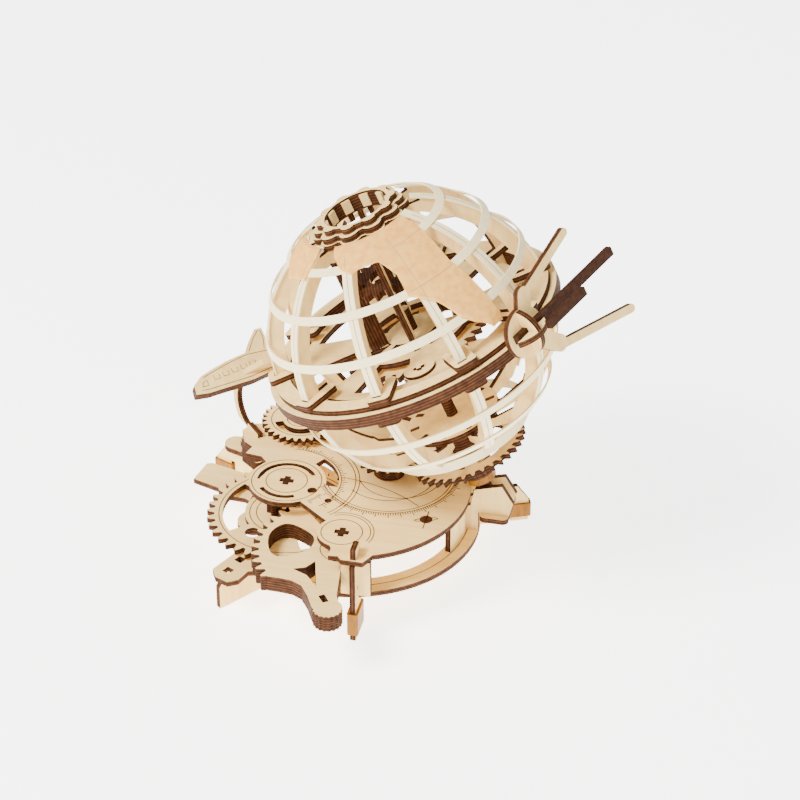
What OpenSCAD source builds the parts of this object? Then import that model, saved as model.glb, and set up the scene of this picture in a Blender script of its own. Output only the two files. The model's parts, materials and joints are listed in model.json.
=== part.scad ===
// Hand-cranked mechanical globe (orrery kit) of laser-cut plywood.
// A lever with a toothed sector turns a gear train on a round deck, and the train spins
// a ribbed globe on a fixed axle tilted 23.5 degrees.  A satellite rides on the globe's
// equator ring and a winged spacecraft stands beside it on a curved arm.

/* [Sheet] */
// Thickness of the plywood sheet
ply = 3; // [3:0.1:3.2]
// Thickness of the bent card strips
strip_t = 0.8; // [0.6:0.1:0.9]

/* [Globe] */
// Outer radius of the globe's meridian ribs
globe_r = 71; // [70:0.5:72]
// Depth of a meridian rib, measured towards the globe's centre
rib_depth = 7.5; // [7:0.5:8]
// Number of meridian ribs
rib_count = 10; // [8:1:12]
// Azimuth of the first rib
rib_phase = 19; // [18:0.5:20]
// Tilt of the globe's axle from vertical
tilt = 23.5; // [23.5:0.1:23.5]
// Height of the globe's centre above the floor
globe_z = 139.3; // [139:0.1:141]
// Width of a meridian or parallel strip
strip_w = 5; // [4:0.5:6]
// Outer radius of the lower equator ring
equator_r = 77; // [76:0.5:78]

/* [Stand] */
// Height of the base ring's underside
ring_z = 22; // [20:0.5:24]
// Height of the deck's underside
deck_z = 46; // [44:0.5:47]
// Outer radius of the base ring
ring_r = 66.3; // [64:0.1:68]
// Outer radius of the deck's disc
deck_r = 61.5; // [60:0.1:63]

/* [Gears] */
// Module of the drive train's teeth
drive_module = 2; // [2:0.1:2]
// Radius of every axle
axle_r = 3; // [2.5:0.1:3]
// Radial running clearance of a gear or lever on its axle
running_gap = 0.05; // [0.02:0.01:0.09]

/* [Lever] */
// Distance from the lever's pivot to the middle of its grip's round end
lever_length = 48.5; // [48:0.5:50]
// Number of plywood layers in the lever
lever_plies = 3; // [3:1:3]

/* [Hidden] */
$fn = 64;

plywood = [0.90, 0.79, 0.60];
card_white = [0.95, 0.90, 0.80];
card_tan = [0.88, 0.72, 0.50];
amber = [0.95, 0.66, 0.16];
burnt = [0.33, 0.18, 0.10];

// Offset from the main shaft's floor point to the centre of the footprint box
origin_shift = [-4.53, 16.75, 0];

// Plan positions, measured from the main shaft
drive_xy = [-49.9, -17.8];
lever_xy = [-11.9, -54.6];
counter_xy = [-54.4, 30];
ring_xy = [-18, -7];
deck_xy = [-17, -13.5];
left_foot_xy = [-66.8, -57.4];
rear_foot_xy = [-94, 42];
right_foot_xy = [54, 39];
front_foot_xy = [-1, -72];

// Gear train
sector_teeth = 44;
pinion_teeth = 9;
drive_teeth = 40;
main_teeth = 13;
counter_pinion_teeth = 8;
counter_teeth = 30;
counter_module = 1.3;
crown_teeth = 18;
south_teeth = 35;
sun_teeth = 36;
planet_teeth = 12;
drive_gear_z = ring_z + ply + 1.2;
lever_z = drive_gear_z + ply + 0.4;
counter_z = deck_z + ply + 2.6;
bore_r = axle_r + running_gap;

// Globe frame: local z runs along the tilted axle towards the north cap
globe_x = 11.7;
south_gear_n = -75;
crown_reach = globe_x - south_gear_n * sin(tilt);
crown_module = 2 * crown_reach / (crown_teeth + south_teeth * cos(tilt));
crown_z = globe_z + south_gear_n * cos(tilt) - crown_module * south_teeth / 2 * sin(tilt) - ply / 2;
sun_n = -8;
planet_azimuth = -71;
planet_reach = drive_module * (sun_teeth + planet_teeth) / 2;
equator_inner_r = globe_r - rib_depth + 2;
cap_n = 62.5;
cap_r = 20.5;
cap_hole_r = 16.4;
south_collar_n = -55.6;
lobes = rib_count;

module row() { translate(origin_shift) children(); }
module on_globe() { row() translate([globe_x, 0, globe_z]) rotate([0, -tilt, 0]) children(); }
module at_xy(p, z = 0) { row() translate([p[0], p[1], z]) children(); }
module sheet(t = ply) { linear_extrude(t) children(); }

// A plate standing upright in the plane that holds direction a; its drawing's x runs
// outward along a and its y runs up
module upright(a, t = ply) { rotate([90, 0, a]) linear_extrude(t, center = true) children(); }

// Round-cornered rectangle centred on the origin, from circles and squares only
module slab(w, h, r = 2) {
    square([w - 2 * r, h], center = true);
    square([w, h - 2 * r], center = true);
    for (x = [-1, 1], y = [-1, 1])
        translate([x * (w / 2 - r), y * (h / 2 - r)]) circle(r);
}

// Bar with round ends from point a to point b
module bar(a, b, w, steps = 16) {
    way = bearing(a, b);
    polygon(concat([for (i = [0:steps]) a + polar(w / 2, way + 90 + 180 * i / steps)],
        [for (i = [0:steps]) b + polar(w / 2, way - 90 + 180 * i / steps)]));
}

// Ring sector between two radii from angle a0 to a1
module sector(r_in, r_out, a0, a1) {
    steps = max(1, ceil((a1 - a0) / 40));
    reach = r_out / cos((a1 - a0) / steps / 2) + 1;
    difference() {
        intersection() {
            circle(r_out, $fn = 96);
            polygon(concat([[0, 0]],
                [for (i = [0:steps]) reach * [cos(a0 + (a1 - a0) * i / steps),
                    sin(a0 + (a1 - a0) * i / steps)]]));
        }
        circle(r_in, $fn = 96);
    }
}

// Plus-shaped section of an axle's end
module plus(size, arm = 2.2) {
    square([size, arm], center = true);
    square([arm, size], center = true);
}

// Tooth flanks narrow from the root to the tip; slack is the share of the pitch left
// open for backlash
function tooth_points(teeth, m, slack, i) =
    let (r = m * teeth / 2, pitch = 360 / teeth, a = pitch * i,
        root = r - 1.15 * m, tip = r + 0.85 * m, w = pitch * (0.5 - slack / 2))
    [polar(root, a - w * 0.80), polar(r, a - w * 0.50), polar(tip, a - w * 0.20),
        polar(tip, a + w * 0.20), polar(r, a + w * 0.50), polar(root, a + w * 0.80)];
function polar(r, a) = r * [cos(a), sin(a)];

module gear_2d(teeth, m, slack = 0.12, phase = 0) {
    polygon([for (i = [0:teeth - 1]) each [for (p = tooth_points(teeth, m, slack, i))
        [p[0] * cos(phase) - p[1] * sin(phase), p[0] * sin(phase) + p[1] * cos(phase)]]]);
}

// Angle of the line from point a to point b
function bearing(a, b) = atan2(b[1] - a[1], b[0] - a[0]);
// Phase that puts a tooth gap of a gear on direction a
function gap_on(teeth, a) = a + 180 / teeth;

drive_to_main = bearing(drive_xy, [0, 0]);
drive_to_counter = bearing(drive_xy, counter_xy);
drive_phase = drive_to_main;
counter_pinion_phase = drive_to_counter + 180
    - (drive_phase - drive_to_counter) * drive_teeth / counter_pinion_teeth
    + 180 / counter_pinion_teeth;
lever_to_drive = bearing(lever_xy, drive_xy);

// ---------------------------------------------------------------- stand

// Left side of the ring, cut away under the drive gear
ring_gap = [[-110, -4], [-76, -6], [-63, -14], [-60, -30], [-61, -42], [-70, -46], [-110, -46]];

module ring_outline() {
    difference() {
        union() {
            difference() {
                translate(ring_xy) circle(ring_r, $fn = 96);
                polygon(ring_gap);
            }
            polygon([[-56, -45], [-66, -47], [-76, -68], [-73, -74], [-66, -77], [-61, -74],
                [-58, -66], [-46, -62]]);
            polygon([[-107, 5], [-104, 20], [-101, 21], [-76, 14], [-76, -5], [-80, -4]]);
            bar(ring_xy + polar(60, 140), rear_foot_xy, 12);
            bar(ring_xy + polar(60, 40), right_foot_xy - [5, 2], 12);
        }
        translate(ring_xy) circle(ring_r - 11.3, $fn = 96);
        for (p = [[-64.5, -57.5], [-68, -67.5]]) translate(p) rotate(-28) square(4.4, center = true);
    }
    intersection() {
        translate(ring_xy) circle(ring_r - 5);
        union() {
            bar([-66, -23.5], [56, 20], 18);
            bar([0, 0], counter_xy + [-6, 3], 14);
            bar([0, 0], lever_xy + [-3, -14], 14);
        }
    }
    translate(drive_xy) circle(13);
}

module base_ring() {
    color(plywood) at_xy([0, 0], ring_z) difference() {
        sheet() ring_outline();
        translate([0, 0, -1]) cylinder(r = bore_r, h = ply + 2);
        for (p = [drive_xy, lever_xy])
            translate([p[0], p[1], -1]) cylinder(r = axle_r, h = ply + 2);
        translate([counter_xy[0], counter_xy[1], -1]) cylinder(r = bore_r, h = ply + 2);
        for (p = post_places()) translate([p[0], p[1], -1])
            rotate(p[2]) linear_extrude(ply + 2) square([8, ply], center = true);
        translate([front_foot_xy[0], front_foot_xy[1], -1])
            linear_extrude(ply + 2) square([ply, 12], center = true);
    }
}

// Each post: plan x, y and the direction of its plate
function post_places() = [
    for (a = [-12, 40, 80, 112]) [ring_xy[0] + 58 * cos(a), ring_xy[1] + 58 * sin(a), a + 90]];

module spacer_posts() {
    gap = deck_z - ring_z - ply;
    color(plywood) for (p = post_places()) at_xy([p[0], p[1]], ring_z) rotate(p[2])
        rotate([90, 0, 0]) linear_extrude(ply, center = true) {
            translate([-9, ply]) square([18, gap]);
            translate([-4, 0]) square([8, 2 * ply]);
        }
    // Front post, in two halves either side of the front foot
    color(plywood) at_xy([0, -71.5], ring_z + ply) upright(0) {
        translate([front_foot_xy[0] + ply / 2, 0]) square([6.5, gap]);
        translate([front_foot_xy[0] - ply / 2 - 5.5, 0]) square([5.5, gap]);
    }
}

// Left front of the deck, cut away over the lever and the drive gear
deck_gap = [[-38, -34.4], [-21.3, -47.4], [-14, -58], [-14, -95], [-100, -95], [-100, 4], [-68, 0]];

module deck_outline() {
    difference() {
        union() {
            difference() {
                translate(deck_xy) circle(deck_r, $fn = 96);
                polygon(deck_gap);
            }
            translate(drive_xy) circle(19.5, $fn = 72);
            translate(lever_xy) circle(12.5);
            polygon([[-20, -60], [-13, -70], [-7, -77], [4, -77], [8, -69], [0, -50]]);
            polygon([[-62, -2], [-80, 11], [-84, 21], [-80, 28], [-60, 32]]);
        }
        for (a = [105, 30, -142]) translate(drive_xy) sector(13, 15.4, a, a + 82);
        translate(drive_xy) sector(20.3, 27, 0, 58);
        translate([-35, -23.5]) circle(2.6);
        translate([-25, -30.2]) circle(1.9);
    }
}

module deck_plate() {
    color(plywood) at_xy([0, 0], deck_z) difference() {
        sheet() deck_outline();
        translate([0, 0, -1]) cylinder(r = bore_r, h = ply + 2);
        for (p = [drive_xy, lever_xy]) translate([p[0], p[1], -1])
            linear_extrude(ply + 2) plus(2 * axle_r + 1.4, 3.2);
        translate([counter_xy[0], counter_xy[1], -1]) cylinder(r = bore_r, h = ply + 2);
        translate([front_foot_xy[0], front_foot_xy[1], -1])
            linear_extrude(ply + 2) square([ply, 8], center = true);
    }
}

// Foot standing under the deck's front tab; it runs up through the tab
module foot_front() {
    color(plywood) at_xy(front_foot_xy) upright(-90) difference() {
        union() {
            translate([-4, 0]) square([8, deck_z + ply + 6]);
            translate([-6, 0]) square([12, deck_z]);
        }
        translate([0, 30]) circle(2);
    }
}

// Foot plate: its drawing's x runs outward, and a slot parts the outer finger
foot_reach = 12;
finger_w = 9.5;
module foot_plate(slotted) {
    difference() {
        polygon([[-14, 0], [foot_reach, 0], [foot_reach, 13], [6, ring_z], [-14, ring_z]]);
        if (slotted) translate([foot_reach - finger_w - 2.5, -1]) square([2.5, 14]);
    }
}
left_foot_way = 233;
rear_foot_way = 157;
right_foot_way = 23;
module foot_left() { color(plywood) at_xy(left_foot_xy) upright(left_foot_way) foot_plate(false); }
module foot_rear() { color(plywood) at_xy(rear_foot_xy) upright(rear_foot_way) foot_plate(true); }
module foot_right() { color(plywood) at_xy(right_foot_xy) upright(right_foot_way) foot_plate(true); }

// Elastic bands stretched round the feet
module rubber_bands() {
    finger = foot_reach - finger_w / 2;
    color(amber) {
        band(front_foot_xy, 4, -90, 12, 13);
        band(rear_foot_xy + polar(finger, rear_foot_way), 3, rear_foot_way, finger_w, 8);
        band(right_foot_xy + polar(finger, right_foot_way), 3, right_foot_way, finger_w, 8);
    }
}

// One band round a plate of width w standing in direction a: centre c, from height z up by h
module band(c, z, a, w, h) {
    t = 1.4;
    at_xy(c, z) rotate(a) linear_extrude(h) difference() {
        slab(w + 2 * t, ply + 2 * t, 1.3);
        square([w, ply], center = true);
    }
}

// Two cheeks that pinch the tilted axle above the right end of the base ring
cheek_gap = 2 * axle_r;
module stand_cheeks() {
    color(plywood) for (side = [-1, 1]) difference() {
        row() translate([0, side * (cheek_gap + ply) / 2, 0])
            upright(0) polygon([[37, ring_z + ply], [48, ring_z + ply], [48, 36], [64, 36], [66, 44],
            [60, 54], [46, 50], [44, 40], [37, 36]]);
        on_globe() translate([0, 0, -93.2]) cylinder(r = 9.2, h = 30);
    }
}

// Small level board between the cheeks' overhang and the right foot's arm
module stand_board() {
    color(plywood) at_xy([56.5, 3], 36 - ply) sheet() slab(15, 26, 3);
}

module globe_axle() {
    color(plywood) on_globe() translate([0, 0, -110]) cylinder(r = axle_r, h = 122);
}

// Stack of rings on the axle between the stand's cheeks and the south gear
module axle_collar() {
    color(burnt) on_globe() for (k = [0:3]) translate([0, 0, -89 + k * ply])
        difference() {
            cylinder(r = (k % 2 == 0) ? 8.5 : 7.5, h = ply);
            translate([0, 0, -1]) cylinder(r = axle_r, h = ply + 2);
        }
}

module collar_band() {
    color(amber) on_globe() translate([0, 0, -93]) difference() {
        cylinder(r = 7.5, h = 4);
        translate([0, 0, -1]) cylinder(r = axle_r, h = 6);
    }
}

module sun_gear() {
    color(plywood) on_globe() translate([0, 0, sun_n]) difference() {
        linear_extrude(ply) difference() {
            gear_2d(sun_teeth, drive_module, 0.12, planet_azimuth);
            for (k = [0:3]) sector(14, 27, 10 + 90 * k, 72 + 90 * k);
        }
        translate([0, 0, -1]) cylinder(r = axle_r, h = ply + 2);
    }
}

module drive_axle() {
    color(plywood) at_xy(drive_xy, ring_z) {
        cylinder(r = axle_r, h = deck_z - ring_z);
        translate([0, 0, deck_z - ring_z]) linear_extrude(ply) plus(2 * axle_r, 2.6);
    }
}

module lever_axle() {
    color(plywood) at_xy(lever_xy, ring_z) {
        cylinder(r = axle_r, h = deck_z - ring_z);
        translate([0, 0, deck_z - ring_z]) linear_extrude(ply) plus(2 * axle_r, 2.6);
    }
}

// Loose rings that space the gears and the lever on their axles
module axle_spacers() {
    lever_top_z = lever_z + lever_plies * ply;
    color(plywood) for (p = [drive_xy, lever_xy]) at_xy(p, lever_top_z + 0.3) difference() {
        cylinder(r = 7, h = deck_z - lever_top_z - 0.3);
        translate([0, 0, -1]) cylinder(r = axle_r, h = deck_z - lever_top_z + 2);
    }
    color(plywood) at_xy(lever_xy, ring_z + ply) difference() {
        cylinder(r = 7, h = lever_z - ring_z - ply - 0.3);
        translate([0, 0, -1]) cylinder(r = axle_r, h = ply + 4);
    }
}

// ---------------------------------------------------------------- spacecraft

bracket_xy = [-75.5, 19];
module shuttle_bracket() {
    color(burnt) at_xy(bracket_xy, deck_z) for (k = [1:5])
        translate([0, 0, -k * ply]) rotate(140) linear_extrude(ply)
            slab(k % 2 == 0 ? 16 : 14, 12, 1.5);
}

// Curved arm in a vertical plane, from the deck's rear lobe out and up to the spacecraft
arm_plane = 131;
module shuttle_arm() {
    color(plywood) difference() {
        at_xy(bracket_xy, deck_z + ply) upright(arm_plane, ply) intersection() {
            union() {
                translate([8, 12.5]) sector(12, 16.5, -125, 40);
                translate([-4, 0]) square([12, 2.5]);
            }
            translate([-10, 0]) square([50, 50]);
        }
        at_shuttle() translate([-30, -10, -ply]) cube([60, 50, 30]);
    }
}

shuttle_xyz = [-90, 30, 71];
shuttle_heading = 41;
shuttle_bank = 30;
module at_shuttle() {
    row() translate(shuttle_xyz) rotate([0, 0, shuttle_heading]) rotate([shuttle_bank, 0, 0]) children();
}

// Side outline of the craft: x runs to its tail, y to the tip of its fin
module shuttle_body() {
    color(plywood) at_shuttle() linear_extrude(2 * ply, center = true)
        polygon([[-23, -1], [-22, 4.5], [-16.5, 8.5], [-8, 11], [1, 13], [12, 14.5], [17.5, 21.5],
            [22, 26], [26, 26], [26, 20], [24, 13.5], [27.5, 10], [26.5, 1], [10, -1.5], [-16, -2]]);
}

// The two wings stand out from the flat sides of the body
module shuttle_wing() {
    color(plywood) at_shuttle() for (side = [-1, 1]) translate([0, 4, 0])
        rotate([90, 0, 0]) linear_extrude(ply, center = true)
            polygon([[6, side * ply], [16, side * 9], [23, side * 9], [25, side * ply]]);
}

// ---------------------------------------------------------------- lever

grip_at = [4.5, -lever_length];
grip_r = 7.4;
module lever_outline() {
    // Drawn in plan with the pivot at the origin
    tooth_phase = lever_to_drive + 180 / sector_teeth;
    difference() {
        union() {
            intersection() {
                gear_2d(sector_teeth, drive_module, 0.12, tooth_phase);
                polygon(concat([[0, 0]], [for (a = [132:18.6:225]) polar(50, a)]));
            }
            circle(12.5);
            polygon([[8, 8], [3, -14], [6.5, -38], [grip_at[0] + grip_r - 0.5, -lever_length],
                [grip_at[0] - grip_r, -lever_length - 1.5], [-7.5, -41], [-12.5, -33.8], [-18, -31],
                [-24, -30.4], [-31, -30.2], [-30, 0]]);
            translate(grip_at) circle(grip_r);
        }
        rounded_hole([[-38, 9], [-32, 16], [-21, 11], [-15, 6], [-15, -4], [-26, -13.5], [-34, -13],
            [-39, 0]]);
        polygon([[-10.5, -13], [-14, -19], [-20, -21.5], [-12, -25], [-5, -33]]);
        translate([0.8, -41.5]) rotate(35) square([3.2, 6], center = true);
        // Grooves that roughen the grip's edge
        for (a = [200:20:360]) translate(grip_at + polar(grip_r + 0.5, a)) circle(1, $fn = 24);
    }
}

// Egg-shaped opening from a short ring of corners, each rounded
module rounded_hole(corners) {
    polygon([for (i = [0:len(corners) - 1], t = [0:0.25:0.75])
        let (a = corners[i], b = corners[(i + 1) % len(corners)],
            c = corners[(i + 2) % len(corners)], p = (a + b) / 2, q = (b + c) / 2)
        (1 - t) * (1 - t) * p + 2 * t * (1 - t) * b + t * t * q]);
}

module lever_ply(k) {
    at_xy(lever_xy, lever_z + k * ply) difference() {
        sheet() lever_outline();
        translate([0, 0, -1]) cylinder(r = bore_r, h = ply + 2);
    }
}
module lever_bottom() { color(plywood) lever_ply(0); }
module lever_core() { color(plywood) lever_ply(1); }
module lever_top() { color(plywood) lever_ply(2); }

// ---------------------------------------------------------------- gear train

module sector_pinion() {
    color(plywood) at_xy(drive_xy, lever_z) difference() {
        linear_extrude(lever_plies * ply)
            gear_2d(pinion_teeth, drive_module, 0.12, lever_to_drive + 180);
        translate([0, 0, -1]) cylinder(r = bore_r, h = lever_plies * ply + 2);
    }
}

module drive_gear() {
    color(plywood) at_xy(drive_xy, drive_gear_z) difference() {
        linear_extrude(ply) difference() {
            gear_2d(drive_teeth, drive_module, 0.12, drive_phase);
            sector(22, 33.5, 146, 222);
            sector(22, 33.5, 296, 372);
            sector(22, 33.5, 40, 110);
            translate(polar(25, 239)) circle(4);
        }
        translate([0, 0, -1]) cylinder(r = bore_r, h = ply + 2);
    }
}

module main_shaft() {
    color(plywood) at_xy([0, 0], ring_z - 1) {
        cylinder(r = axle_r, h = crown_z + ply + 1 - ring_z);
    }
}

module main_pinion() {
    color(plywood) at_xy([0, 0], drive_gear_z) difference() {
        linear_extrude(ply) gear_2d(main_teeth, drive_module, 0.12,
            gap_on(main_teeth, drive_to_main + 180));
        translate([0, 0, -1]) cylinder(r = axle_r, h = ply + 2);
    }
}

module crown_pinion() {
    color(plywood) at_xy([0, 0], crown_z) {
        difference() {
            linear_extrude(ply) gear_2d(crown_teeth, crown_module, 0.3, 0);
            translate([0, 0, -1]) cylinder(r = axle_r, h = ply + 2);
        }
        hub_h = crown_z - deck_z - ply - 0.6;
        translate([0, 0, -hub_h]) difference() {
            cylinder(r = 8, h = hub_h);
            translate([0, 0, -1]) cylinder(r = axle_r, h = hub_h + 2);
        }
    }
}

module counter_axle() {
    color(plywood) at_xy(counter_xy, ring_z - 1) {
        cylinder(r = axle_r, h = counter_z + ply - ring_z + 1);
        translate([0, 0, counter_z + ply - ring_z + 1]) linear_extrude(2) plus(5.6);
    }
}

module counter_pinion() {
    color(plywood) at_xy(counter_xy, drive_gear_z) difference() {
        linear_extrude(ply) gear_2d(counter_pinion_teeth, drive_module, 0.12,
            counter_pinion_phase);
        translate([0, 0, -1]) cylinder(r = axle_r, h = ply + 2);
    }
}

module counter_gear() {
    color(plywood) at_xy(counter_xy, counter_z) {
        difference() {
            linear_extrude(ply) difference() {
                gear_2d(counter_teeth, counter_module, 0.1, 0);
                for (k = [0, 1]) sector(9.5, 14, 25 + 180 * k, 150 + 180 * k);
            }
            translate([0, 0, -1]) cylinder(r = axle_r, h = ply + 2);
        }
        translate([0, 0, -2]) difference() {
            cylinder(r = 6.5, h = 2);
            translate([0, 0, -1]) cylinder(r = axle_r, h = 4);
        }
    }
}

// ---------------------------------------------------------------- globe

function rib_azimuth(k) = rib_phase + 360 / rib_count * k;

// Profile of one meridian rib: x is the distance from the axle, y runs along the axle
rib_south_lat = -50;
module rib_profile() {
    inner = globe_r - rib_depth;
    difference() {
        union() {
            sector(inner, globe_r, rib_south_lat, 66.5);
            translate([0, -ply]) translate([inner - 3, -5]) square([6, 14]);
            // Arm that reaches in to the south collar
            polygon([[18, south_collar_n], [18, south_collar_n - 6], [41, south_collar_n - 2],
                [45.6, -54.4], [41.5, -47.5], [39.5, -50.5], [26, south_collar_n]]);
            translate([18, south_collar_n - 1]) square([5, ply + 1]);
            // Arm under the north cap
            polygon([[17, cap_n], [17, cap_n - 4], [24, cap_n - 7], [28, cap_n - 5], [28, cap_n]]);
        }
        translate([equator_inner_r, -2 * ply]) square([20, 3 * ply]);
        translate([0, cap_n]) square([cap_r + 10, 20]);
    }
}

module rib_pair(k) {
    color(plywood) on_globe() for (side = [0, rib_count / 2])
        upright(rib_azimuth(k + side)) rib_profile();
}
module rib_pair_1() { rib_pair(0); }
module rib_pair_2() { rib_pair(1); }
module rib_pair_3() { rib_pair(2); }
module rib_pair_4() { rib_pair(3); }
module rib_pair_5() { rib_pair(4); }

// Bent strips glued along the outer edge of the ribs
module meridian_strips() {
    color(card_white) on_globe() for (k = [0:rib_count - 1]) {
        upright(rib_azimuth(k), strip_w) {
            sector(globe_r, globe_r + strip_t, 5, 68.2);
            sector(globe_r, globe_r + strip_t, -50, -8);
        }
    }
}

// Band round the globe at latitude lat, outside the meridian strips' inner face
module parallel(lat) {
    r0 = globe_r + strip_t + 0.05;
    half = 0.42 * strip_w / r0 * 180 / PI;
    rotate_extrude($fn = 96) intersection() {
        sector(r0, r0 + strip_t, lat - half, lat + half);
        translate([0, -100]) square([100, 200]);
    }
}
module parallels_north() {
    color(card_white) on_globe() for (lat = [19, 37.5, 56.5]) parallel(lat);
}
module parallels_south() {
    color(card_white) on_globe() for (lat = [-22, -40]) parallel(lat);
    color(card_white) on_globe() translate([0, 0, -63.1]) difference() {
        cylinder(r = 38, h = strip_w, $fn = 96);
        translate([0, 0, -1]) cylinder(r = 38 - strip_t, h = strip_w + 2, $fn = 96);
    }
}

module equator_top_ring() {
    color(plywood) on_globe() linear_extrude(ply) difference() {
        circle(equator_r - 3.2, $fn = 120);
        circle(equator_inner_r, $fn = 120);
    }
}
module equator_ring() {
    color(plywood) on_globe() translate([0, 0, -2 * ply]) linear_extrude(2 * ply) difference() {
        union() {
            circle(equator_r, $fn = 120);
            rotate(satellite_azimuth) translate([equator_r - 4, -6]) square([4, 12]);
        }
        circle(equator_inner_r, $fn = 120);
    }
}

// Windowed plate inside the equator: it carries the planet gear's axle and runs on
// the tilted axle
plate_r = globe_r - rib_depth - 3;
module equator_plate() {
    color(plywood) on_globe() translate([0, 0, -ply]) difference() {
        linear_extrude(ply) difference() {
            circle(plate_r, $fn = 96);
            for (a = [-150, -100, -30, 40, 92, 150]) sector(31, 55, a - 10, a + 22);
            for (k = [0:5]) sector(14, 26, 60 * k + 6, 60 * k + 54);
        }
        translate([0, 0, -1]) cylinder(r = bore_r, h = ply + 2);
        rotate(planet_azimuth) translate([planet_reach, 0, -1]) cylinder(r = bore_r, h = ply + 2);
    }
}

// Flat hooks that lock each rib against the equator rings
module clips_at(n, inner, outer) {
    for (k = [0:rib_count - 1]) rotate(rib_azimuth(k)) translate([0, 0, n])
        linear_extrude(ply) difference() {
            translate([(inner + outer) / 2, 1]) slab(outer - inner, 12, 2.5);
            translate([0, -ply / 2]) square([globe_r + strip_t + 0.5, ply]);
            translate([globe_r - 0.2, -strip_w / 2]) square([strip_t + 0.7, strip_w]);
        }
}
clip_reach = globe_r + 4.5;
module upper_clips() {
    color(plywood) on_globe() clips_at(ply, equator_inner_r - 10, clip_reach);
}
module lower_clips() {
    color(plywood) on_globe() clips_at(-3 * ply, equator_inner_r - 4, clip_reach);
}

module cap_outline(r, lobe) {
    difference() {
        union() {
            circle(r - lobe * 0.7);
            for (k = [0:lobes - 1]) rotate(rib_azimuth(k)) translate([r - lobe, 0]) circle(lobe);
        }
        circle(cap_hole_r);
    }
}
module cap_upper() {
    color(plywood) on_globe() translate([0, 0, cap_n + 2 * ply]) sheet() cap_outline(cap_r + 0.5, 3.6);
}
module cap_lower() {
    color(plywood) on_globe() translate([0, 0, cap_n + ply]) sheet()
        cap_outline(cap_r + 3.2, 5.2);
}
module cap_base() {
    color(plywood) on_globe() translate([0, 0, cap_n]) sheet() cap_outline(cap_r + 4.6, 5.6);
}

// Crossed frames that stand on the equator plate inside the globe
module cap_frame() {
    color(plywood) on_globe() {
        for (a = [-71, 37]) rotate(a) {
            linear_extrude(cap_n) translate([14, -ply / 2]) square([9, ply]);
            linear_extrude(cap_n) translate([-23, -ply / 2]) square([9, ply]);
            translate([0, 0, 44]) rotate([90, 0, 0]) linear_extrude(ply, center = true)
                translate([-14, 0]) square([28, 8]);
        }
        translate([0, 0, 30]) linear_extrude(ply) difference() {
            gear_2d(20, 2, 0.12, 0);
            circle(9);
            for (a = [-71, 37, 109, 217]) rotate(a) translate([18, 0])
                square([12, ply], center = true);
        }
    }
}

module south_collar() {
    color(plywood) on_globe() translate([0, 0, south_collar_n]) difference() {
        linear_extrude(ply) difference() {
            circle(24.5);
            for (k = [0:rib_count - 1]) rotate(rib_azimuth(k)) translate([20.5, 0])
                square([5, ply], center = true);
        }
        translate([0, 0, -1]) cylinder(r = bore_r, h = ply + 2);
    }
    hub_h = south_collar_n - south_gear_n - ply / 2;
    color(plywood) on_globe() translate([0, 0, south_gear_n + ply / 2]) difference() {
        cylinder(r = 8, h = hub_h);
        translate([0, 0, -1]) cylinder(r = bore_r, h = 30);
    }
}

module south_gear() {
    color(plywood) on_globe() translate([0, 0, south_gear_n - ply / 2]) difference() {
        linear_extrude(ply) difference() {
            gear_2d(south_teeth, crown_module, 0.3, gap_on(south_teeth, 180));
            for (k = [0:4]) sector(12, 21, 72 * k + 10, 72 * k + 62);
        }
        translate([0, 0, -1]) cylinder(r = bore_r, h = ply + 2);
    }
}

// Outlines of the land, as azimuth and latitude pairs
land_main = [[-25, 68], [-28, 57], [-33, 39], [-30, 9], [-35, 9], [-41, 15], [-45, 19], [-50, 29],
    [-60, 36], [-60, 46], [-66, 54], [-77, 55], [-85, 53], [-93, 56], [-99, 62], [-102, 68]];
land_west = [[-119, 68], [-118, 62], [-122, 53], [-141, 52], [-155, 57], [-168, 68]];
land_cap_lat = 67.4;
module land_panels() {
    r0 = globe_r + 2 * strip_t + 0.1;
    color(card_tan) on_globe() intersection() {
        difference() {
            sphere(r0 + strip_t, $fn = 96);
            sphere(r0, $fn = 96);
        }
        linear_extrude(r0 * sin(land_cap_lat)) {
            polygon([for (p = land_main) r0 * cos(p[1]) * [cos(p[0]), sin(p[0])]]);
            polygon([for (p = land_west) r0 * cos(p[1]) * [cos(p[0]), sin(p[0])]]);
        }
    }
}

// ---------------------------------------------------------------- satellite

// Satellite frame: x points away from the globe's axis, y along its travel, z north
satellite_azimuth = -27.5;
satellite_n = 2;
satellite_r = 12.6;
blade_w = 4.4;
module on_satellite() {
    on_globe() rotate(satellite_azimuth) translate([equator_r, 0, satellite_n]) children();
}

// Flat disc against the equator ring, cut in one piece with two swept-back blades
module satellite_plate() {
    color(plywood) on_satellite() rotate([90, 0, 90]) linear_extrude(ply) {
        circle(satellite_r, $fn = 72);
        bar([2, 5], [8, 16], 2 * blade_w);
        bar([8, 16], [47, 26], blade_w);
        bar([3, -5], [17, -18], 2 * blade_w);
        bar([16, -19], [68, -33], blade_w);
    }
}

// Half disc level with the equator
module satellite_level_disc() {
    color(plywood) on_satellite() translate([0, 0, -ply / 2]) linear_extrude(ply)
        half_disc(false);
}

// Half discs across the direction of travel, above and below the level one
module satellite_cross_disc() {
    color(plywood) on_satellite() rotate([90, 0, 0]) linear_extrude(ply, center = true)
        difference() {
            half_disc(true);
            translate([0, -ply / 2]) square([20, ply]);
        }
}

// Outer half of a disc, notched where the long blade crosses it
module half_disc(cross) {
    difference() {
        circle(satellite_r, $fn = 72);
        translate([ply - 40, -20]) square([40, 40]);
        if (cross)
            translate([0, -ply]) square([2 * ply + 0.5, 2 * ply + 1]);
        else
            translate([0, -20]) square([2 * ply + 0.5, 40]);
    }
}

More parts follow.
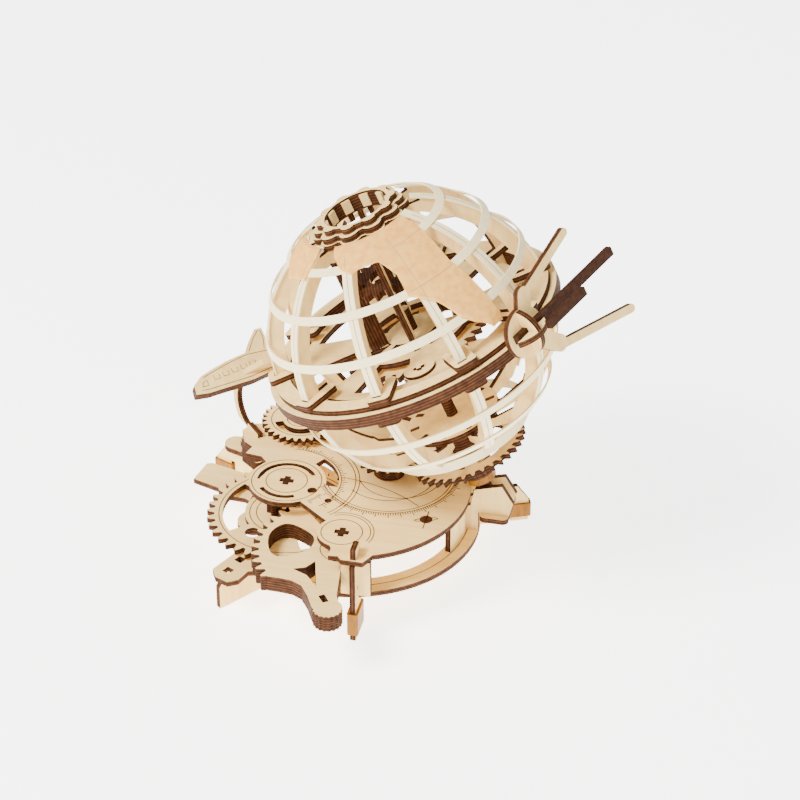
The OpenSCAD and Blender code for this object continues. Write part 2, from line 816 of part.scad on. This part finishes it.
// Two double-thickness blades that trail level with the equator
module satellite_blades() {
    color(burnt) on_satellite() translate([0, 0, -0.7]) linear_extrude(blade_w) {
        translate([ply, -9]) square([ply + 0.5, 77]);
        translate([satellite_r, 5]) square([ply, 29]);
    }
}

// ---------------------------------------------------------------- planet

module planet_gear() {
    color(plywood) on_globe() rotate(planet_azimuth) translate([planet_reach, 0, sun_n]) difference() {
        linear_extrude(ply) gear_2d(planet_teeth, drive_module, 0.12, gap_on(planet_teeth, 180));
        translate([0, 0, -1]) cylinder(r = axle_r, h = ply + 2);
    }
}
module planet_axle() {
    color(plywood) on_globe() rotate(planet_azimuth) translate([planet_reach, 0, sun_n]) {
        cylinder(r = axle_r, h = 8);
        translate([0, 0, 8.15]) cylinder(r = 8, h = 1.6);
        translate([0, 0, 8]) cylinder(r = axle_r, h = 1);
        translate([0, 0, 9.75]) linear_extrude(1.4) plus(5.6);
    }
}

base_ring();
deck_plate();
spacer_posts();
foot_front();
foot_left();
foot_rear();
foot_right();
rubber_bands();
stand_cheeks();
stand_board();
globe_axle();
axle_collar();
collar_band();
sun_gear();
drive_axle();
lever_axle();
axle_spacers();
shuttle_bracket();
shuttle_arm();
shuttle_body();
shuttle_wing();
lever_top();
lever_core();
lever_bottom();
sector_pinion();
drive_gear();
main_shaft();
main_pinion();
crown_pinion();
counter_axle();
counter_pinion();
counter_gear();
equator_top_ring();
equator_ring();
equator_plate();
rib_pair_1();
rib_pair_2();
rib_pair_3();
rib_pair_4();
rib_pair_5();
meridian_strips();
parallels_north();
parallels_south();
upper_clips();
lower_clips();
cap_upper();
cap_lower();
cap_base();
cap_frame();
south_collar();
south_gear();
land_panels();
satellite_plate();
satellite_level_disc();
satellite_cross_disc();
satellite_blades();
planet_gear();
planet_axle();
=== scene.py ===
import json
import math

import bpy
import numpy as np
from mathutils import Matrix, Vector


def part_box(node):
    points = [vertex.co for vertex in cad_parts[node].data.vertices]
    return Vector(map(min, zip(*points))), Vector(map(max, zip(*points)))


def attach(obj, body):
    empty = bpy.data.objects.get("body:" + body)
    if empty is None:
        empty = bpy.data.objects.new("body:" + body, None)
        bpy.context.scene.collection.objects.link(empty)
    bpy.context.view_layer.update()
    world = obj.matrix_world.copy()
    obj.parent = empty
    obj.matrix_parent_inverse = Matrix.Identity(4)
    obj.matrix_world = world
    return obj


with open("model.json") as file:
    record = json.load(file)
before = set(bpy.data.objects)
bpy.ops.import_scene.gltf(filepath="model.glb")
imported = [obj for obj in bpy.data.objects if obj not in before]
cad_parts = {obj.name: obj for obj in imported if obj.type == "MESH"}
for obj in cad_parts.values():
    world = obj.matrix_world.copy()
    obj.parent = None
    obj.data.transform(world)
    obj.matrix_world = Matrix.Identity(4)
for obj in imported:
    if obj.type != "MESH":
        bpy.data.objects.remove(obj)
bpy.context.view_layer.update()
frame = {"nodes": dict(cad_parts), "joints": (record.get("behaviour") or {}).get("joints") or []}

MM = 0.001
UP = Vector((0, 0, 1))
SHEET = 3 * MM

# ---------------------------------------------------------------- places, from the frame

JOINT = {j["name"]: j for j in frame["joints"]}


def joint_point(name):
    return Vector(JOINT[name]["pos_m"])


main_xy = joint_point("main_spin").to_2d()
drive_xy = joint_point("drive_spin").to_2d()
lever_xy = joint_point("lever_swing").to_2d()
counter_xy = joint_point("counter_spin").to_2d()
globe_centre = joint_point("globe_spin")
globe_axis = Vector(JOINT["globe_spin"]["axis"])
deck_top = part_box("deck_plate")[1][2]
ring_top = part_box("base_ring")[1][2]
ring_xy = main_xy + Vector((-18, -7)) * MM
RING_LINE_R = 60.6 * MM
globe_tilt = UP.rotation_difference(globe_axis).to_matrix().to_4x4()
globe_frame = Matrix.Translation(globe_centre) @ globe_tilt
main_foot = Vector((main_xy.x, main_xy.y, 0))
CRAFT_PLACE = Vector((-90, 30, 71)) * MM
CRAFT_HEADING = math.radians(41)
CRAFT_BANK = math.radians(30)
craft = Matrix.Translation(main_foot + CRAFT_PLACE) \
    @ Matrix.Rotation(CRAFT_HEADING, 4, "Z") @ Matrix.Rotation(CRAFT_BANK, 4, "X")
craft_normal = craft.to_3x3().col[2].normalized()
GLOBE_R = 71.8 * MM
LAND_R = 73.5 * MM
RIB_COUNT = 10
RIB_PHASE = 19

# ---------------------------------------------------------------- materials


def new_material(name, color, roughness=0.6):
    mat = bpy.data.materials.new(name)
    mat.use_nodes = True
    shader = mat.node_tree.nodes["Principled BSDF"]
    shader.inputs["Base Color"].default_value = (*color, 1)
    shader.inputs["Roughness"].default_value = roughness
    shader.inputs["Specular IOR Level"].default_value = 0.12
    return mat, mat.node_tree, shader


def add(tree, kind, **values):
    node = tree.nodes.new(kind)
    for key, value in values.items():
        if key in node.inputs:
            node.inputs[key].default_value = value
        else:
            setattr(node, key, value)
    return node


def noise(tree, scale, stretch=(1, 1, 1), detail=3.0, rotation=(0, 0, 0)):
    coord = add(tree, "ShaderNodeTexCoord")
    mapping = add(tree, "ShaderNodeMapping")
    mapping.inputs["Scale"].default_value = stretch
    mapping.inputs["Rotation"].default_value = rotation
    texture = add(tree, "ShaderNodeTexNoise", Scale=scale, Detail=detail)
    tree.links.new(coord.outputs["Object"], mapping.inputs["Vector"])
    tree.links.new(mapping.outputs["Vector"], texture.inputs["Vector"])
    return texture


def ramp(tree, source, stops):
    node = add(tree, "ShaderNodeValToRGB")
    while len(node.color_ramp.elements) < len(stops):
        node.color_ramp.elements.new(0.5)
    for element, (place, color) in zip(node.color_ramp.elements, stops):
        element.position = place
        element.color = (*color, 1)
    tree.links.new(source, node.inputs["Fac"])
    return node


def multiply(tree, a, b):
    node = add(tree, "ShaderNodeMix", data_type="RGBA", blend_type="MULTIPLY")
    node.inputs["Factor"].default_value = 1.0
    tree.links.new(a, node.inputs[6])
    tree.links.new(b, node.inputs[7])
    return node.outputs[2]


def bump(tree, shader, source, strength, distance):
    node = add(tree, "ShaderNodeBump", Strength=strength, Distance=distance)
    tree.links.new(source, node.inputs["Height"])
    tree.links.new(node.outputs["Normal"], shader.inputs["Normal"])


def wood_face(name, pale, dark, grain=(1, 1, 1), rotation=(0, 0, 0)):
    mat, tree, shader = new_material(name, pale, 0.62)
    fibres = noise(tree, 260, grain, 5.0, rotation)
    tone = ramp(tree, fibres.outputs["Fac"], [(0.30, dark), (0.62, pale)])
    clouds = noise(tree, 22, (1, 1, 1), 2.0)
    patches = ramp(tree, clouds.outputs["Fac"], [(0.3, (0.90, 0.86, 0.80)), (0.7, (1, 1, 1))])
    color = multiply(tree, tone.outputs["Color"], patches.outputs["Color"])
    tree.links.new(color, shader.inputs["Base Color"])
    bump(tree, shader, fibres.outputs["Fac"], 0.12, 0.0002)
    return mat


def burnt_edge():
    """Veneers show as darker and lighter lines across the sheet's thickness."""
    mat, tree, shader = new_material("burnt_edge", (0.10, 0.045, 0.022), 0.75)
    depth = add(tree, "ShaderNodeAttribute", attribute_name="ply_depth")
    wave = add(tree, "ShaderNodeMath", operation="SINE")
    scale = add(tree, "ShaderNodeMath", operation="MULTIPLY")
    scale.inputs[1].default_value = 2 * math.pi
    tree.links.new(depth.outputs["Fac"], scale.inputs[0])
    tree.links.new(scale.outputs["Value"], wave.inputs[0])
    layers = ramp(tree, wave.outputs["Value"],
                  [(0.0, (0.045, 0.015, 0.005)), (0.9, (0.130, 0.048, 0.015))])
    soot = noise(tree, 340, (1, 1, 1), 3.0)
    spots = ramp(tree, soot.outputs["Fac"], [(0.35, (0.55, 0.5, 0.48)), (0.65, (1, 1, 1))])
    color = multiply(tree, layers.outputs["Color"], spots.outputs["Color"])
    tree.links.new(color, shader.inputs["Base Color"])
    bump(tree, shader, soot.outputs["Fac"], 0.25, 0.0002)
    return mat


def card(name, pale, dark, scale):
    mat, tree, shader = new_material(name, pale, 0.7)
    fibre = noise(tree, scale, (1, 1, 1), 6.0)
    tone = ramp(tree, fibre.outputs["Fac"], [(0.35, dark), (0.65, pale)])
    tree.links.new(tone.outputs["Color"], shader.inputs["Base Color"])
    bump(tree, shader, fibre.outputs["Fac"], 0.1, 0.0001)
    return mat


def amber_rubber():
    mat, tree, shader = new_material("amber_rubber", (0.24, 0.09, 0.001), 0.4)
    shader.inputs["Specular IOR Level"].default_value = 0.2
    streaks = noise(tree, 500, (1, 1, 0.2), 2.0)
    tone = ramp(tree, streaks.outputs["Fac"], [(0.3, (0.17, 0.06, 0.0)), (0.7, (0.30, 0.12, 0.0))])
    tree.links.new(tone.outputs["Color"], shader.inputs["Base Color"])
    return mat


CREAM = (0.90, 0.66, 0.28)
CREAM_DARK = (0.81, 0.55, 0.20)
FACE = wood_face("plywood_face", CREAM, CREAM_DARK, (1, 1, 0.08))
FACE_FLAT = wood_face("plywood_face_flat", CREAM, CREAM_DARK, (0.07, 1, 1), (0, 0, 0.3))
EDGE = burnt_edge()
WHITE = card("white_strip", (0.95, 0.82, 0.50), (0.90, 0.74, 0.42), 420)
TAN = card("tan_panel", (0.84, 0.45, 0.11), (0.72, 0.34, 0.07), 300)
AMBER = amber_rubber()
LINE, _, _ = new_material("engraved_line", (0.075, 0.026, 0.009), 0.8)
SEAM, _, _ = new_material("seam_line", (0.50, 0.36, 0.20), 0.8)
SEAM_TAN, _, _ = new_material("panel_seam", (0.45, 0.27, 0.13), 0.8)

# ---------------------------------------------------------------- plywood faces and edges

FACE_COSINE = 0.97  # a polygon this close to the sheet's normal belongs to a face
VENEER = SHEET / 2

def islands(mesh):
    """Polygon indices of each loose part; corners at one place count as joined."""
    places = {}
    same = [places.setdefault(tuple(round(c * 1e6) for c in v.co), v.index) for v in mesh.vertices]
    parent = list(range(len(mesh.vertices)))

    def root(i):
        while parent[i] != i:
            parent[i] = parent[parent[i]]
            i = parent[i]
        return i

    for edge in mesh.edges:
        a, b = (root(same[i]) for i in edge.vertices)
        if a != b:
            parent[a] = b
    groups = {}
    for poly in mesh.polygons:
        groups.setdefault(root(same[poly.vertices[0]]), []).append(poly.index)
    return groups.values()


def sheet_normal(mesh, polys):
    """The direction across the sheet: the one with the most area facing it."""
    area = {}
    for i in polys:
        poly = mesh.polygons[i]
        normal = poly.normal.copy()
        if (normal.z, normal.y, normal.x) < (-normal.z, -normal.y, -normal.x):
            normal = -normal
        key = tuple(round(c, 2) + 0.0 for c in normal)
        area[key] = area.get(key, 0) + poly.area
    return Vector(max(area, key=area.get)).normalized()


def paint_plywood(node, face, across=None):
    mesh = frame["nodes"][node].data
    mesh.materials.clear()
    mesh.materials.append(face)
    mesh.materials.append(EDGE)
    depth = mesh.attributes.new("ply_depth", "FLOAT", "POINT")
    for polys in islands(mesh):
        normal = across or sheet_normal(mesh, polys)
        for i in polys:
            poly = mesh.polygons[i]
            poly.material_index = 0 if abs(poly.normal @ normal) > FACE_COSINE else 1
            for v in poly.vertices:
                depth.data[v].value = (mesh.vertices[v].co @ normal) / VENEER


def paint_plain(node, material):
    mesh = frame["nodes"][node].data
    mesh.materials.clear()
    mesh.materials.append(material)
    for poly in mesh.polygons:
        poly.material_index = 0


# ---------------------------------------------------------------- engraving

LIFT = 0.05 * MM
LINE_WIDTH = 0.5 * MM
FINE_WIDTH = 0.4 * MM
DISC_SIDES = 32

def ribbon_mesh(name, lines, width):
    """Flat strips along polylines. Each line is a list of (point, surface normal)."""
    verts, faces = [], []
    for line in lines:
        base = len(verts)
        count = len(line)
        for i, (point, normal) in enumerate(line):
            before = line[max(i - 1, 0)][0]
            after = line[min(i + 1, count - 1)][0]
            side = (after - before).cross(normal).normalized() * width / 2
            raised = point + normal * LIFT
            verts += [raised + side, raised - side]
        for i in range(count - 1):
            k = base + 2 * i
            faces.append((k, k + 1, k + 3, k + 2))
    mesh = bpy.data.meshes.new(name)
    mesh.from_pydata([tuple(v) for v in verts], [], faces)
    mesh.update()
    obj = bpy.data.objects.new(name, mesh)
    bpy.context.collection.objects.link(obj)
    return obj


def engrave(name, body, lines, width=LINE_WIDTH, material=LINE):
    obj = ribbon_mesh(name, lines, width)
    obj.data.materials.append(material)
    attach(obj, body)
    return obj


def arc(centre, z, radius, start=0, end=360, step=4):
    count = max(2, int(abs(end - start) / step) + 1)
    angles = np.radians(np.linspace(start, end, count))
    return [(Vector((centre[0] + radius * math.cos(a), centre[1] + radius * math.sin(a), z)), UP)
            for a in angles]


def segment(a, b, z):
    return [(Vector((a[0], a[1], z)), UP), (Vector((b[0], b[1], z)), UP)]


def ticks(centre, z, r_in, r_out, start, end, step):
    lines = []
    for k, angle in enumerate(np.arange(start, end, step)):
        reach = r_out if k % 5 == 0 else r_in + (r_out - r_in) * 0.55
        a = math.radians(angle)
        way = Vector((math.cos(a), math.sin(a)))
        lines.append(segment(Vector(centre) + way * r_in, Vector(centre) + way * reach, z))
    return lines


def on_deck(x, y):
    return main_xy + Vector((x, y)) * MM


def curve(z, points, steps=24):
    """Smooth line through three plan points, as a circular arc."""
    a, b, c = (on_deck(*p) for p in points)
    aa, bb, cc = (p.length_squared for p in (a, b, c))
    d = 2 * (a.x * (b.y - c.y) + b.x * (c.y - a.y) + c.x * (a.y - b.y))
    ux = (aa * (b.y - c.y) + bb * (c.y - a.y) + cc * (a.y - b.y)) / d
    uy = (aa * (c.x - b.x) + bb * (a.x - c.x) + cc * (b.x - a.x)) / d
    centre = Vector((ux, uy))
    start = math.atan2(a.y - uy, a.x - ux)
    sweep = (math.atan2(c.y - uy, c.x - ux) - start + math.pi) % (2 * math.pi) - math.pi
    radius = (a - centre).length
    angles = [start + sweep * t for t in np.linspace(0, 1, steps)]
    return [(Vector((ux + radius * math.cos(t), uy + radius * math.sin(t), z)), UP) for t in angles]


def disc(name, body, centre, z, radius, material):
    ring = [(centre[0] + radius * math.cos(a), centre[1] + radius * math.sin(a), z + LIFT)
            for a in np.linspace(0, 2 * math.pi, DISC_SIDES, endpoint=False)]
    mesh = bpy.data.meshes.new(name)
    mesh.from_pydata(ring, [], [tuple(range(DISC_SIDES))])
    mesh.materials.append(material)
    obj = bpy.data.objects.new(name, mesh)
    bpy.context.collection.objects.link(obj)
    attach(obj, body)


def engrave_deck():
    z = deck_top
    dial = [arc(drive_xy, z, 18 * MM), arc(drive_xy, z, 10.6 * MM)]
    engrave("deck_dial_circles", "base", dial)
    boss = [arc(lever_xy, z, 10.4 * MM), arc(lever_xy, z, 14.5 * MM, -20, 118),
            arc(lever_xy, z, 16.2 * MM, -22, 116)]
    engrave("deck_boss_circles", "base", boss)
    band = [arc(drive_xy, z, r * MM, -40, 96) for r in (28, 35.5, 37.5)]
    band += ticks(drive_xy, z, 28 * MM, 31.5 * MM, -36, 88, 3)
    band += ticks(drive_xy, z, 20.5 * MM, 24 * MM, -44, -22, 3)
    engrave("deck_band", "base", band)
    scale = [arc(main_xy, z, r * MM, -152, 12) for r in (33.2, 34.8)]
    scale += ticks(main_xy, z, 34.8 * MM, 38.6 * MM, -148, 10, 2)
    engrave("deck_scale", "base", scale)
    sweep = [curve(z, [(-22, -9), (0, -13.5), (21, -25)]), curve(z, [(-13, -10), (0, -20), (27, -4)]),
             arc(main_xy, z, 24 * MM, -130, -10)]
    engrave("deck_arcs", "base", sweep)
    planet = on_deck(27, -35)
    disc("deck_ringed_planet", "base", planet, z, 3.3 * MM, LINE)
    ring = [(Vector((planet.x + 5.6 * MM * math.cos(a), planet.y + 2.0 * MM * math.cos(a)
                     + 1.3 * MM * math.sin(a), z)), UP) for a in np.linspace(0, 2 * math.pi, 25)]
    stem = segment(on_deck(27, -43), on_deck(27, -28), z)
    engrave("deck_planet_ring", "base", [ring, stem], 0.6 * MM)
    engrave("ring_line", "base", [arc(ring_xy, ring_top, RING_LINE_R, -112, 118, 3)], 0.45 * MM)


def engrave_gears():
    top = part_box("drive_gear")[1][2]
    engrave("drive_gear_circles", "drive_gear",
            [arc(drive_xy, top, 35.4 * MM, step=3), arc(drive_xy, top, 19.5 * MM),
             arc(drive_xy, top, 16 * MM)])
    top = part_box("counter_gear")[1][2]
    engrave("counter_gear_circles", "counter_gear", [arc(counter_xy, top, r * MM) for r in (7.2, 15.5)])
    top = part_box("lever_top")[1][2]
    engrave("lever_line", "lever", [arc(lever_xy, top, 11 * MM)])


def engrave_shuttle():
    lines = []
    for side in (-1, 1):
        normal = craft_normal * side
        height = SHEET / MM * side

        def line(*points):
            return [(craft @ (Vector((x, y, height)) * MM), normal) for x, y in points]

        lines.append(line((-19, 0.4), (-15, 0), (9, 0.4), (25, 2.6)))
        lines.append(line((-16, 7.2), (-7, 9.6), (2, 11.6), (12, 13.2), (24, 12.4)))
        lines.append(line((14, 14.6), (19, 21), (23, 24.6), (24.6, 24.6), (24.6, 20), (22.6, 13.8)))
        for k in range(5):
            x, y = -10 + 5.4 * k, 4.4 + 0.5 * k
            lines.append(line((x, y + 2.6), (x, y), (x + 3.2, y), (x + 3.2, y + 2.6)))
        lines.append(line((-18, 2.2), (-14.4, 2.2), (-14.4, 5.4), (-16.8, 4.6), (-18, 2.2)))
    engrave("shuttle_lines", "base", lines, 0.38 * MM)


def globe_point(azimuth, latitude, radius):
    a, b = math.radians(azimuth), math.radians(latitude)
    local = Vector((math.cos(b) * math.cos(a), math.cos(b) * math.sin(a), math.sin(b)))
    return globe_frame @ (local * radius), (globe_frame.to_3x3() @ local)


def engrave_globe():
    lines = []
    for k in range(RIB_COUNT):
        azimuth = RIB_PHASE + 360 / RIB_COUNT * k
        lines.append([globe_point(azimuth, b, GLOBE_R) for b in np.linspace(6, 64, 30)])
        lines.append([globe_point(azimuth, b, GLOBE_R) for b in np.linspace(-49, -9, 20)])
    engrave("strip_centre_lines", "globe", lines, LINE_WIDTH, SEAM)
    panels = [[globe_point(a, b, LAND_R) for b in np.linspace(low, 61.3, 12)]
              for a, low in ((-53, 32), (-89, 55.5), (-125, 54))]
    panels += [[globe_point(a, b, LAND_R) for a in np.linspace(start, end, 14)]
               for b, start, end in ((37.5, -58, -34), (56.5, -53, -29))]
    engrave("land_seams", "globe", panels, FINE_WIDTH, SEAM_TAN)


def cap_teeth():
    """Pale rib tips that line the hole in the cap."""
    size = Vector((1.6, 4.4, 6.4)) * MM
    place = Matrix.Translation(Vector((15.9, 0, 67.2)) * MM)
    for k in range(RIB_COUNT):
        bpy.ops.mesh.primitive_cube_add(size=1)
        tooth = bpy.context.object
        tooth.name = f"cap_tooth_{k + 1}"
        turn = Matrix.Rotation(math.radians(RIB_PHASE + 360 / RIB_COUNT * k), 4, "Z")
        tooth.matrix_world = globe_frame @ turn @ place @ Matrix.Diagonal((*size, 1))
        tooth.data.materials.append(FACE)
        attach(tooth, "globe")


# ---------------------------------------------------------------- painting the CAD nodes

PLAIN = {"land_panels": TAN, "shuttle_wing": FACE, "rubber_bands": AMBER, "collar_band": AMBER,
         "satellite_blades": EDGE, "drive_axle": EDGE, "lever_axle": EDGE, "counter_axle": EDGE,
         "meridian_strips": WHITE, "parallels_north": WHITE, "parallels_south": WHITE}
FLAT = {"base_ring", "deck_plate", "stand_board", "axle_spacers", "shuttle_bracket",
        "lever_top", "lever_core", "lever_bottom", "drive_gear", "sector_pinion",
        "main_pinion", "crown_pinion", "counter_pinion", "counter_gear", "main_shaft"}
ALONG_AXIS = {"globe_axle", "axle_collar", "planet_axle", "equator_ring", "equator_top_ring", "equator_plate",
              "upper_clips", "lower_clips", "cap_upper", "cap_lower", "cap_base", "south_collar",
              "south_gear", "sun_gear", "planet_gear", "satellite_level_disc"}

for node in frame["nodes"]:
    if node in PLAIN:
        paint_plain(node, PLAIN[node])
    elif node in FLAT:
        paint_plywood(node, FACE_FLAT, UP)
    elif node == "shuttle_body":
        paint_plywood(node, FACE, craft_normal)
    elif node in ALONG_AXIS:
        paint_plywood(node, FACE, globe_axis)
    else:
        paint_plywood(node, FACE)

engrave_deck()
engrave_gears()
engrave_shuttle()
engrave_globe()
cap_teeth()

# ---------------------------------------------------------------- studio


def area_light(name, place, target, size, power, color=(1, 1, 1)):
    data = bpy.data.lights.new(name, "AREA")
    data.size = size
    data.energy = power
    data.color = color
    obj = bpy.data.objects.new(name, data)
    obj.location = place
    obj.rotation_euler = (Vector(target) - Vector(place)).to_track_quat("-Z", "Y").to_euler()
    bpy.context.collection.objects.link(obj)


FLOOR_SIZE = 12
FLOOR_DROP = 0.2 * MM


def studio():
    bpy.ops.mesh.primitive_plane_add(size=FLOOR_SIZE, location=(0, 0, -FLOOR_DROP))
    floor = bpy.context.object
    floor.name = "studio_floor"
    mat, _, shader = new_material("pale_floor", (0.95, 0.95, 0.95), 0.9)
    shader.inputs["Emission Color"].default_value = (1, 1, 1, 1)
    shader.inputs["Emission Strength"].default_value = 3.6
    floor.data.materials.append(mat)
    world = bpy.data.worlds.new("studio_world")
    world.use_nodes = True
    background = world.node_tree.nodes["Background"]
    background.inputs["Color"].default_value = (1, 1, 1, 1)
    background.inputs["Strength"].default_value = 0.5
    bpy.context.scene.world = world
    centre = (0, 0, 0.09)
    area_light("key", (-0.9, -0.8, 1.5), centre, 0.6, 84, (1.0, 0.98, 0.94))
    area_light("fill", (1.1, -1.2, 0.9), centre, 1.2, 14)
    area_light("back", (0.3, 1.3, 1.2), centre, 1.0, 6)


CAMERA_AZIMUTH = math.radians(12.8)
CAMERA_ELEVATION = math.radians(34.2)
CAMERA_DISTANCE = 1.579
CAMERA_AIM = Vector((-5.9, 50.7, 60)) * MM


def camera():
    level = math.cos(CAMERA_ELEVATION)
    way = Vector((math.sin(CAMERA_AZIMUTH) * level, -math.cos(CAMERA_AZIMUTH) * level,
                  math.sin(CAMERA_ELEVATION)))
    target = main_foot + CAMERA_AIM
    data = bpy.data.cameras.new("photo_camera")
    data.sensor_width = 36
    data.lens = 135
    obj = bpy.data.objects.new("photo_camera", data)
    obj.location = target + way * CAMERA_DISTANCE
    obj.rotation_euler = (-way).to_track_quat("-Z", "Y").to_euler()
    bpy.context.collection.objects.link(obj)
    bpy.context.scene.camera = obj


studio()
camera()
